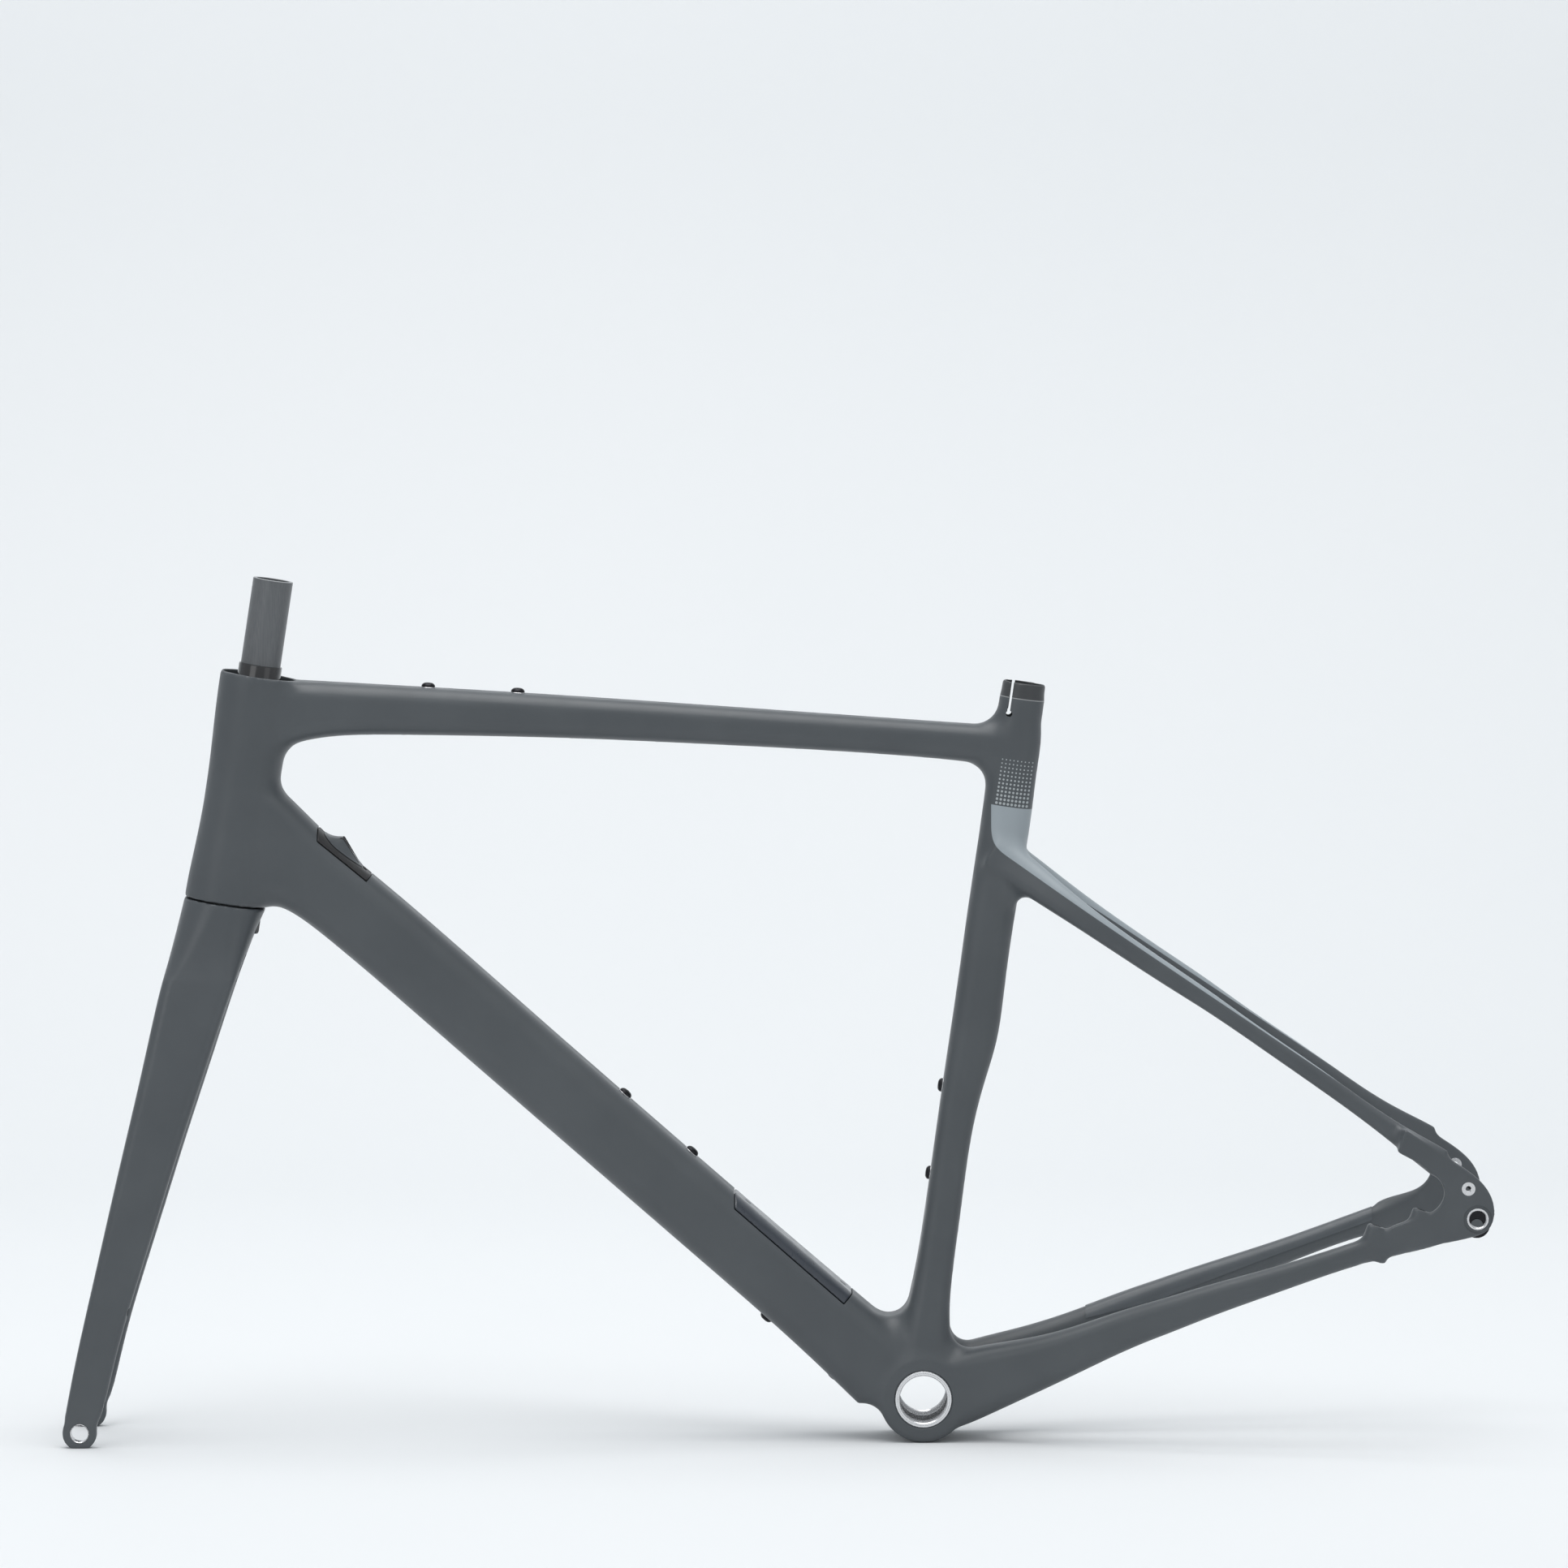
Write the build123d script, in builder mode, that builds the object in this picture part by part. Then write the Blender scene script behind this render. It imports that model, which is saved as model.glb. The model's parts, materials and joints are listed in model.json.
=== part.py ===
"""Bicycle frameset: hollow carbon frame, fork, headset parts and fittings.

Millimetres.  The origin is the centre of the bottom bracket.  +X points to the front of the bicycle,
+Y to the rider's left and +Z up.  The frameset stands without wheels on its two fork tips and on the
bottom bracket shell, so it leans nose down and every tube is described in that stance.
"""
from build123d import *
import os
from math import cos, radians, sin

os.makedirs("parts", exist_ok=True)

# ---------------------------------------------------------------- driving dimensions
floor_z = -31.5                    # the plane that the fork tips and the bracket shell stand on
bracket_radius = -floor_z          # bottom bracket shell, outside
bracket_width = 68.0
cup_radius = 20.5
cup_bore = 17.0
cup_length = 24.0

steer_tilt = 8.64                  # steering axis, degrees back from vertical in this stance
head_top = (474.9, 517.6)          # where the steering axis leaves the head tube, (x, z)
head_length = 164.0
bearing_radius = 26.0              # headset bearings, outside
bearing_height = 7.0
upper_seat = 15.0                  # depth of the upper bearing's seat below the head tube's top
lower_seat = 9.5                   # height of the lower bearing's seat above its bottom
head_bore = 22.6
steerer_radius = 14.3
steerer_base_radius = 19.0
steerer_above = 69.0               # steerer standing out of the head tube
crown_gap = 1.0                    # head tube to fork crown
running_gap = 0.2                  # bearing balls to races

seat_top = (-72.0, 512.2)          # centre of the seat tube's top face, (x, z)
seat_tilt = 8.0                    # seat tube, degrees back from vertical in this stance
seatpost_radius = 13.6
seatpost_depth = 235.0
collar_radius = 15.4               # bare band that a seat clamp closes on
collar_height = 11.0
clamp_slot = 2.0
clamp_slot_length = 23.0
clamp_slot_offset = 8.0
clamp_hole_radius = 2.2            # hole at the foot of the clamp slot

rear_axle = (-393.2, 135.1)        # (x, z)
rear_inner = 71.0                  # half the distance between the rear dropouts
rear_outer = 77.5
front_axle = (602.4, -20.8)
front_inner = 50.0
front_outer = 60.0
front_boss = 12.3
axle_hole = 6.1
axle_thread = 5.45                 # M12 thread, minor radius
insert_radius = 8.0                # rear axle insert
front_insert_radius = 7.0

wall = 2.0                         # carbon wall of the main tubes
thin_wall = 1.8                    # carbon wall of the stays
blade_wall = 2.6

bolt_radius = 2.5                  # M5 bottle cage bolts
bolt_head_radius = 4.6
bolt_head_height = 3.2
bolt_crown_radius = 2.85           # flat top of the rounded head
socket_radius = 1.7                # corner radius of the hexagon socket
socket_depth = 2.0
washer_radius = 5.4
washer_height = 0.6
nut_radius = 3.6
nut_length = 9.0
m5_minor = 2.1                     # M5 thread, minor radius
hanger_thread = 4.5                # M10 thread, minor radius
hanger_plate = 3.2
axle_recess = 1.2
axle_recess_radius = 10.1
hanger_top_radius = 11.0           # hanger plate around the axle
eyelet_radius = 4.8
brake_y = 72.0                     # rear brake bosses, from the middle plane
brake_hole = 2.7
sleeve_radius = 3.4
sleeve_length = 16.0
brake_boss_radius = 5.6            # solid boss around a sleeve, inside the chain stay
brake_boss_depth = 14.0
brake_insert_radius = 3.2
brake_insert_length = 10.0
pad_radius = 5.4                   # solid pad around an insert, inside the fork blade
pad_depth = 6.0
guard_thickness = 0.6
steerer_bore = 11.8
steerer_hidden_radius = 13.7       # steerer below the compression ring's top, clear of the stem's clamp
ring_flange = 2.5                  # height of the compression ring's flange
ring_collar = 13.0                 # height of its collar
ring_collar_radius = 15.5
ring_split = 1.4
race_flange = 1.6
race_flange_radius = 24.5
race_tongue = 5.0                  # part of the crown race inside the lower bearing
blade_top = 302.0                  # level at which the fork blades meet the crown
gap_line = 0.4                     # visible gap around the covers
cover_wall = 3.0
port_wall = 2.4
screw_radius = 2.2
screw_sink = 0.8                   # cover screw heads below the cover's surface

FOOT = (Align.CENTER, Align.CENTER, Align.MIN)


# ---------------------------------------------------------------- helpers
def side_point(point, y=0.0):
    """A point of the side view, (x, z), at a distance y from the middle plane."""
    return Vector(point[0], y, point[1])


def across(upper, lower):
    """Plane of a tube's section, from its lower to its upper edge; local X runs across the bicycle."""
    up = side_point(upper) - side_point(lower)
    middle = (side_point(upper) + side_point(lower)) * 0.5
    return Plane(origin=middle, x_dir=(0, 1, 0), z_dir=Vector(0, 1, 0).cross(up))


def tube_sections(stations, inset=0.0):
    """Rounded sections of a tube in the middle plane.  A station is upper edge, lower edge, width, corner."""
    faces = []
    for upper, lower, width, corner in stations:
        depth = (side_point(upper) - side_point(lower)).length
        with BuildSketch(across(upper, lower)) as section:
            RectangleRounded(width - 2 * inset, depth - 2 * inset, corner - inset)
        faces.append(section.sketch)
    return faces


def stay_sections(stations, inset=0.0):
    """Rounded sections of a stay.  A station is x, y, z, width, depth, corner."""
    points = [Vector(*station[:3]) for station in stations]
    faces = []
    for index, station in enumerate(stations):
        after = points[min(index + 1, len(points) - 1)]
        before = points[max(index - 1, 0)]
        width, depth, corner = station[3:]
        plane = Plane(origin=points[index], x_dir=(0, 1, 0), z_dir=after - before)
        with BuildSketch(plane) as section:
            RectangleRounded(width - 2 * inset, depth - 2 * inset, corner - inset)
        faces.append(section.sketch)
    return faces


def steer_plane(height):
    """Plane square to the steering axis, at a height above the head tube's top; local X is forward."""
    tilt = radians(steer_tilt)
    up = Vector(-sin(tilt), 0, cos(tilt))
    return Plane(origin=side_point(head_top) + up * height, x_dir=(cos(tilt), 0, sin(tilt)), z_dir=up)


def seat_plane(depth):
    """Plane square to the seat tube, at a depth below its top; local X is forward, Z points up."""
    tilt = radians(seat_tilt)
    up = Vector(-sin(tilt), 0, cos(tilt))
    return Plane(origin=side_point(seat_top) - up * depth, x_dir=(cos(tilt), 0, sin(tilt)), z_dir=up)


def outward_plane(point, angle, y=0.0):
    """Plane at a point of the side view whose Z points out of the tube, at an angle above +X."""
    direction = (cos(radians(angle)), 0, sin(radians(angle)))
    return Plane(origin=side_point(point, y), x_dir=(0, 1, 0), z_dir=direction)


def lateral_plane(point, y):
    """Plane facing +Y at a point of the side view."""
    return Plane(origin=side_point(point, y), x_dir=(1, 0, 0), z_dir=(0, 1, 0))


def hole(plane, radius, depth=40.0):
    """Cuts a hole through the current part, depth to each side of a plane."""
    with Locations(plane):
        Cylinder(radius, 2 * depth, mode=Mode.SUBTRACT)


def ring(outer, inner, height):
    """Flat ring standing on the current place."""
    Cylinder(outer, height, align=FOOT)
    Cylinder(inner, height, align=FOOT, mode=Mode.SUBTRACT)


# ---------------------------------------------------------------- bottle cage and bag bolts
# (x, z) on the tube's edge, outward angle in degrees above +X
bolt_rows = {
    "top_tube_bolts": [(354.1, 508.4, 93.3), (290.1, 504.6, 93.3)],
    "down_tube_bolts": [(214.0, 216.0, 131.3), (166.2, 174.2, 131.3)],
    "down_tube_lower_bolts": [(111.7, 56.0, -49.0), (63.7, 14.0, -49.0)],
    "seat_tube_bolts": [(-14.1, 222.7, 8.0), (-5.3, 159.5, 8.0)],
}
spot_face = 0.4                    # depth of the flat that a washer sits on


def bolt_planes(row):
    """Planes of a row of bolts, on their spot faces."""
    planes = []
    for x, z, angle in bolt_rows[row]:
        plane = outward_plane((x, z), angle)
        planes.append(plane.offset(-spot_face))
    return planes


def cut_bolt_seats(row):
    """Spot faces and nut holes of a row of bolts, in the current part."""
    for plane in bolt_planes(row):
        with Locations(plane):
            Cylinder(washer_radius + 0.2, 10, align=FOOT, mode=Mode.SUBTRACT)
            Cylinder(nut_radius, 2 * nut_length, mode=Mode.SUBTRACT)


def bolt_set(row):
    """Round-headed socket bolts of a row."""
    for plane in bolt_planes(row):
        with Locations(plane.offset(washer_height)):
            Cylinder(bolt_radius, nut_length + 2, align=(Align.CENTER, Align.CENTER, Align.MAX))
            Cone(bolt_head_radius, bolt_crown_radius, bolt_head_height, align=FOOT)
        with BuildSketch(plane.offset(washer_height + bolt_head_height)) as socket:
            RegularPolygon(socket_radius, 6)
        extrude(socket.sketch, amount=-socket_depth, mode=Mode.SUBTRACT)


# ---------------------------------------------------------------- head tube
# distance below the top face, half depth, half width
head_stations = [
    (0.0, 27.4, 27.6),
    (34.0, 27.0, 27.2),
    (78.0, 25.7, 26.4),
    (112.0, 26.4, 27.4),
    (146.0, 28.6, 29.2),
    (head_length, 29.2, 30.0),
]

with BuildPart() as head_core:
    for below, half_depth, half_width in head_stations:
        with BuildSketch(steer_plane(-below)):
            RectangleRounded(2 * half_depth, 2 * half_width, 0.9 * half_depth)
    loft()

with BuildPart() as head_tube:
    add(head_core.part)
    with Locations(steer_plane(-head_length - 1)):
        Cylinder(head_bore, head_length + 2, align=FOOT, mode=Mode.SUBTRACT)
        Cylinder(bearing_radius, lower_seat + 1, align=FOOT,
                 mode=Mode.SUBTRACT)
    with Locations(steer_plane(-upper_seat)):
        Cylinder(bearing_radius, upper_seat + 1, align=FOOT,
                 mode=Mode.SUBTRACT)

# ---------------------------------------------------------------- seat tube
# front edge, rear edge, width, corner
seat_stations = [
    ((-50.6, 484.3), (-84.1, 480.3), 32.0, 15.4),
    ((-46.4, 455.0), (-81.3, 450.1), 33.0, 15.0),
    ((-43.1, 427.4), (-77.9, 422.6), 34.0, 15.0),
    ((-31.4, 346.2), (-64.9, 341.6), 35.0, 14.0),
    ((-24.9, 298.6), (-58.3, 294.0), 34.5, 13.5),
    ((-19.0, 258.0), (-52.2, 253.4), 34.0, 13.0),
    ((-14.6, 228.0), (-43.6, 224.0), 34.0, 11.5),
    ((-10.3, 197.0), (-35.9, 193.4), 35.0, 10.5),
    ((-2.6, 141.0), (-27.5, 137.4), 40.0, 10.0),
    ((4.0, 98.0), (-21.8, 94.6), 47.0, 10.5),
    ((11.5, 62.0), (-19.0, 58.0), 56.0, 12.0),
    ((18.0, 26.0), (-20.0, 22.0), 62.0, 14.0),
]

with BuildPart() as seat_core:
    loft(tube_sections(seat_stations))
    with Locations(seat_plane(40)):
        Cylinder(16.1, 40 - collar_height, align=FOOT)
    with Locations(seat_plane(collar_height)):
        Cylinder(collar_radius, collar_height, align=FOOT)

# ---------------------------------------------------------------- bottom bracket shell
with BuildPart() as bracket_core:
    with Locations(Plane.XZ):
        Cylinder(bracket_radius, bracket_width)
    fillet(bracket_core.edges().filter_by(GeomType.CIRCLE), 4.0)

with BuildPart() as bb_shell:
    add(bracket_core.part)
    with Locations(Plane.XZ):
        Cylinder(cup_radius, bracket_width + 2, mode=Mode.SUBTRACT)

with BuildPart() as seat_tube:
    add(seat_core.part)
    loft(tube_sections(seat_stations[6:], wall), mode=Mode.SUBTRACT)
    with Locations(seat_plane(seatpost_depth)):
        Cylinder(seatpost_radius, seatpost_depth + 1, align=FOOT,
                 mode=Mode.SUBTRACT)
    with BuildSketch(seat_plane(-1)):
        with Locations((clamp_slot_offset, 0)):
            Rectangle(clamp_slot, 40)
    extrude(amount=-(clamp_slot_length + 1), mode=Mode.SUBTRACT)
    slot_foot = seat_plane(clamp_slot_length)
    slot_end = slot_foot.origin + slot_foot.x_dir * clamp_slot_offset
    with Locations(Plane(origin=slot_end, x_dir=slot_foot.x_dir, z_dir=(0, 1, 0))):
        Cylinder(clamp_hole_radius, 40, mode=Mode.SUBTRACT)
    add(bracket_core.part, mode=Mode.SUBTRACT)
    cut_bolt_seats("seat_tube_bolts")

# ---------------------------------------------------------------- top tube
top_stations = [
    ((462.0, 514.2), (466.0, 461.6), 44.0, 13.0),
    ((424.0, 512.4), (426.0, 473.6), 41.0, 13.0),
    ((383.0, 510.1), (385.0, 475.2), 39.0, 12.5),
    ((336.0, 507.4), (337.6, 474.6), 38.0, 12.0),
    ((255.0, 502.4), (256.5, 472.8), 37.0, 11.5),
    ((138.0, 494.4), (139.5, 467.6), 35.0, 11.0),
    ((22.0, 486.2), (23.5, 460.7), 33.0, 10.5),
    ((-25.0, 483.0), (-23.5, 456.5), 32.0, 10.5),
    ((-56.0, 481.0), (-54.5, 452.0), 31.0, 10.5),
]

# ---------------------------------------------------------------- down tube
down_stations = [
    ((482.0, 446.0), (494.0, 357.5), 50.0, 18.0),
    ((459.0, 434.0), (468.0, 353.6), 51.0, 18.0),
    ((432.0, 407.5), (452.0, 347.9), 52.0, 18.0),
    ((388.3, 369.1), (418.6, 322.9), 54.0, 18.0),
    ((308.0, 299.1), (343.6, 258.1), 55.0, 18.0),
    ((202.3, 205.8), (237.4, 165.4), 56.0, 18.0),
    ((136.0, 147.8), (170.8, 107.4), 58.0, 18.0),
    ((81.6, 100.6), (116.8, 60.4), 61.0, 18.0),
    ((44.0, 68.5), (80.8, 27.6), 63.0, 18.0),
    ((8.0, 38.0), (46.6, -5.4), 63.0, 18.0),
]

# Pocket in the top of the down tube that the battery cover closes: along its lower edge, then well above.
pocket_front, pocket_rear = (135.6, 136.2), (57.0, 67.6)
pocket_outline = [pocket_front, pocket_rear, (45.5, 79.0), (30.0, 100.0), (120.0, 180.0), (135.6, 165.0)]
# Seat of the cable port cover near the head tube.
port_front, port_rear = (433.5, 399.6), (398.0, 370.4)
port_outline = [port_front, port_rear, (393.6, 375.4), (380.0, 400.0), (420.0, 425.0), (433.5, 410.5)]

with BuildPart() as down_core:
    loft(tube_sections(down_stations))


def side_slab(outline, half_width, shrink=0.0):
    """Solid whose side view is an outline, reaching half_width to each side."""
    with BuildPart() as slab:
        with BuildSketch(Plane.XZ):
            with BuildLine():
                Polyline(*outline, close=True)
            make_face()
            if shrink:
                offset(amount=-shrink, kind=Kind.INTERSECTION, mode=Mode.REPLACE)
        extrude(amount=half_width, both=True)
    return slab.part


pocket_zone = side_slab(pocket_outline, 45)
port_zone = side_slab(port_outline, 45)
with BuildPart() as down_tube:
    add(down_core.part)
    loft(tube_sections(down_stations, wall), mode=Mode.SUBTRACT)
    add(pocket_zone, mode=Mode.SUBTRACT)
    add(port_zone, mode=Mode.SUBTRACT)
    add(head_core.part, mode=Mode.SUBTRACT)
    add(seat_core.part, mode=Mode.SUBTRACT)
    add(bracket_core.part, mode=Mode.SUBTRACT)
    cut_bolt_seats("down_tube_bolts")
    cut_bolt_seats("down_tube_lower_bolts")

# Screws at the two ends of the battery cover.
cover_screw_planes = [outward_plane((125.5, 138.6), 131.0), outward_plane((57.5, 79.6), 131.0)]

# Hooded mouth of the cable port, in side view, and the direction in which the hoses leave it.
horn_outline = [(421.5, 397.0), (420.4, 399.4), (414.6, 401.6), (404.6, 384.4), (403.0, 380.0), (413.0, 386.0)]
horn_half_width = 8.0
horn_mouth = (417.5, 400.5)
horn_direction = (0.55, 0, 0.84)

with BuildPart() as battery_cover:
    add(down_core.part)
    add(side_slab(pocket_outline, 45, gap_line), mode=Mode.INTERSECT)
    loft(tube_sections(down_stations, cover_wall), mode=Mode.SUBTRACT)
    for plane in cover_screw_planes:
        hole(plane, screw_radius)

with BuildPart() as cable_port_cover:
    add(down_core.part)
    add(side_slab(port_outline, 45, gap_line), mode=Mode.INTERSECT)
    loft(tube_sections(down_stations, port_wall), mode=Mode.SUBTRACT)
    with BuildSketch(Plane.XZ):
        with BuildLine():
            Polyline(*horn_outline, close=True)
        make_face()
    extrude(amount=horn_half_width, both=True)
    with BuildSketch(Plane(origin=side_point(horn_mouth), x_dir=(0, 1, 0), z_dir=horn_direction)):
        RectangleRounded(11.0, 4.6, 2.2)
    extrude(amount=30, both=True, mode=Mode.SUBTRACT)

with BuildPart() as top_tube:
    loft(tube_sections(top_stations))
    loft(tube_sections(top_stations, wall), mode=Mode.SUBTRACT)
    add(head_core.part, mode=Mode.SUBTRACT)
    add(seat_core.part, mode=Mode.SUBTRACT)
    cut_bolt_seats("top_tube_bolts")

# ---------------------------------------------------------------- chain stays, seat stays and dropouts
# x, y, z, width, depth, corner; y is measured from the middle plane to either side
chainstay_stations = [
    (-8.0, 18.2, -0.5, 32.0, 50.0, 12.0),
    (-40.0, 20.4, 11.4, 30.0, 49.4, 12.0),
    (-65.0, 28.0, 20.4, 26.0, 43.0, 11.5),
    (-90.0, 36.0, 29.6, 23.0, 36.2, 10.5),
    (-130.0, 43.0, 46.1, 20.0, 29.4, 9.5),
    (-173.0, 50.5, 62.8, 18.0, 25.0, 8.5),
    (-215.0, 56.5, 78.0, 16.5, 21.2, 7.8),
    (-256.0, 63.0, 92.0, 15.5, 18.0, 7.2),
    (-300.0, 69.0, 107.4, 14.5, 16.8, 6.8),
    (-336.0, 72.6, 118.8, 12.0, 19.5, 5.6),
    (-362.0, 74.2, 127.6, 9.0, 23.0, 4.2),
]
seatstay_stations = [
    (-50.0, 13.5, 391.0, 16.0, 26.0, 7.5),
    (-72.0, 20.0, 376.5, 18.0, 25.0, 8.5),
    (-94.0, 33.0, 361.0, 15.0, 21.0, 7.2),
    (-118.0, 42.5, 344.3, 12.5, 17.6, 6.0),
    (-160.0, 47.8, 315.8, 11.2, 15.4, 5.4),
    (-204.0, 51.0, 286.9, 10.4, 13.4, 5.0),
    (-250.0, 53.6, 255.0, 10.0, 12.4, 4.8),
    (-292.0, 56.6, 225.8, 10.0, 12.4, 4.8),
    (-325.0, 60.4, 202.4, 10.0, 13.6, 4.8),
    (-346.0, 66.5, 188.2, 9.6, 17.0, 4.6),
    (-366.0, 73.0, 175.0, 8.0, 21.0, 3.8),
]
# Dropout, side view: along the outer edge from the seat stay round the axle to the chain stay, and back.
dropout_outer = [(-341.0, 199.6), (-356.0, 189.6), (-372.0, 178.8), (-388.0, 168.2), (-400.0, 156.0),
                 (-405.0, 140.0), (-401.5, 128.5), (-388.0, 121.8), (-360.0, 116.2), (-330.0, 107.8)]
dropout_inner = [(-330.0, 128.4), (-350.0, 135.6), (-364.0, 142.4), (-369.4, 153.0), (-364.0, 165.6),
                 (-352.0, 174.6), (-336.0, 183.2)]
eyelet = (-386.4, 156.9)
hanger_hole = (-402.5, 112.5)      # derailleur bolt
hanger_radius = 9.5
brake_bosses = [(-321.0, 128.6), (-353.0, 139.8)]
brake_slope = 19.3                 # slope of the rear brake's mounting face, degrees

with BuildPart() as dropout_core:
    with BuildSketch(Plane.XZ):
        with BuildLine():
            Spline(*dropout_outer)
            Line(dropout_outer[-1], dropout_inner[0])
            Spline(*dropout_inner)
            Line(dropout_inner[-1], dropout_outer[0])
        make_face()
    extrude(amount=-rear_outer)
    with BuildSketch(Plane.XZ):
        Rectangle(900, 600)
    extrude(amount=-rear_inner, mode=Mode.SUBTRACT)


def brake_plane(boss):
    """Plane of one rear brake boss, its Z square to the mounting face."""
    slope = radians(brake_slope)
    return Plane(origin=side_point(boss, brake_y), x_dir=(0, 1, 0), z_dir=(-sin(slope), 0, cos(slope)))


with BuildPart() as dropout_left:
    add(dropout_core.part)
    hole(lateral_plane(rear_axle, rear_outer), insert_radius)
    with Locations(lateral_plane(rear_axle, rear_outer - axle_recess)):
        Cylinder(axle_recess_radius, 4, align=FOOT, mode=Mode.SUBTRACT)
    hole(lateral_plane(eyelet, rear_outer), eyelet_radius)
    for boss in brake_bosses:
        hole(brake_plane(boss), sleeve_radius)

with BuildPart() as axle_insert_left:
    with Locations(lateral_plane(rear_axle, rear_inner)):
        ring(insert_radius, axle_hole, rear_outer - rear_inner - axle_recess)

with BuildPart() as eyelet_inserts:
    with Locations(lateral_plane(eyelet, rear_inner), lateral_plane(eyelet, -rear_outer)):
        ring(eyelet_radius, m5_minor, rear_outer - rear_inner)

with BuildPart() as chainstay_core:
    loft(stay_sections(chainstay_stations))

with BuildPart() as chainstay_shell:
    add(chainstay_core.part)
    loft(stay_sections(chainstay_stations, thin_wall), mode=Mode.SUBTRACT)
    for neighbour in (dropout_core, bracket_core, seat_core):
        add(neighbour.part, mode=Mode.SUBTRACT)
    hole(lateral_plane((0, 0), 0), cup_radius)

with BuildPart() as chainstay_left:
    add(chainstay_core.part)
    loft(stay_sections(chainstay_stations, thin_wall), mode=Mode.SUBTRACT)
    for boss in brake_bosses:
        with Locations(brake_plane(boss)):
            Cylinder(brake_boss_radius, brake_boss_depth, align=(Align.CENTER, Align.CENTER, Align.MAX))
    for boss in brake_bosses:
        hole(brake_plane(boss), sleeve_radius)
    for neighbour in (dropout_core, bracket_core, seat_core):
        add(neighbour.part, mode=Mode.SUBTRACT)
    hole(lateral_plane((0, 0), 0), cup_radius)

with BuildPart() as chainstay_right:
    mirror(chainstay_shell.part, about=Plane.XZ)

with BuildPart() as rear_brake_sleeves:
    for boss in brake_bosses:
        with Locations(brake_plane(boss)):
            Cylinder(sleeve_radius, sleeve_length, align=(Align.CENTER, Align.CENTER, Align.MAX))
    for boss in brake_bosses:
        hole(brake_plane(boss), brake_hole)

# Guard on top of the drive side chain stay.
guard_outline = [(-118.0, 50.0), (-118.0, 90.0), (-300.0, 160.0), (-326.0, 150.0), (-326.0, 117.0),
                 (-256.0, 93.0), (-173.0, 63.0)]
with BuildPart() as guard_left:
    loft(stay_sections(chainstay_stations, -guard_thickness))
    add(chainstay_core.part, mode=Mode.SUBTRACT)
    add(side_slab(guard_outline, 100), mode=Mode.INTERSECT)

with BuildPart() as chainstay_guard:
    mirror(guard_left.part, about=Plane.XZ)

with BuildPart() as seatstay_left:
    loft(stay_sections(seatstay_stations))
    loft(stay_sections(seatstay_stations, thin_wall), mode=Mode.SUBTRACT)
    add(dropout_core.part, mode=Mode.SUBTRACT)
    add(seat_core.part, mode=Mode.SUBTRACT)

with BuildPart() as seatstay_right:
    mirror(seatstay_left.part, about=Plane.XZ)

# The hanger lies in a pocket of the drive side dropout, and its tongue hangs below it.
hanger_offset = (hanger_hole[0] - rear_axle[0], rear_axle[1] - hanger_hole[1])
with BuildPart() as hanger_core:
    with BuildSketch(lateral_plane(rear_axle, -rear_inner - hanger_plate)):
        Circle(hanger_top_radius)
        with Locations(hanger_offset):
            Circle(hanger_radius)
        make_hull()
    extrude(amount=hanger_plate)
    with BuildSketch(lateral_plane(rear_axle, -rear_outer)):
        Circle(insert_radius)
        with Locations(hanger_offset):
            Circle(hanger_radius)
    extrude(amount=rear_outer - rear_inner)

with BuildPart() as derailleur_hanger:
    add(hanger_core.part)
    hole(lateral_plane(rear_axle, -rear_inner), axle_thread)
    hole(lateral_plane(hanger_hole, -rear_inner), hanger_thread)

with BuildPart() as dropout_right:
    mirror(dropout_core.part, about=Plane.XZ)
    add(hanger_core.part, mode=Mode.SUBTRACT)
    hole(lateral_plane(eyelet, -rear_outer), eyelet_radius)

with BuildPart() as bb_cup_left:
    with Locations(lateral_plane((0, 0), bracket_width / 2 - cup_length)):
        ring(cup_radius, cup_bore, cup_length)
    chamfer(bb_cup_left.edges().filter_by(GeomType.CIRCLE).group_by(Axis.Y)[-1], 0.8)

with BuildPart() as bb_cup_right:
    mirror(bb_cup_left.part, about=Plane.XZ)

# ---------------------------------------------------------------- headset
lower_bearing_foot = -head_length + lower_seat - bearing_height
upper_bearing_foot = -upper_seat
inner_race = (21.2, 20.02)         # outer and inner radius
outer_race = (bearing_radius - 0.03, 24.2)
ball_count = 24
pitch_radius = (inner_race[0] + outer_race[1]) / 2
ball_radius = (outer_race[1] - inner_race[0]) / 2 - running_gap


def balls(foot):
    """Ring of bearing balls in the bearing that stands at a height on the steering axis."""
    with Locations(steer_plane(foot + bearing_height / 2)):
        with PolarLocations(pitch_radius, ball_count):
            Sphere(ball_radius)


with BuildPart() as upper_bearing_outer:
    with Locations(steer_plane(upper_bearing_foot)):
        ring(*outer_race, bearing_height)

with BuildPart() as upper_bearing_inner:
    with Locations(steer_plane(upper_bearing_foot)):
        ring(*inner_race, bearing_height)

with BuildPart() as upper_bearing_balls:
    balls(upper_bearing_foot)

with BuildPart() as lower_bearing_outer:
    with Locations(steer_plane(lower_bearing_foot)):
        ring(*outer_race, bearing_height)

with BuildPart() as lower_bearing_inner:
    with Locations(steer_plane(lower_bearing_foot)):
        ring(*inner_race, bearing_height)

with BuildPart() as lower_bearing_balls:
    balls(lower_bearing_foot)

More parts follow.
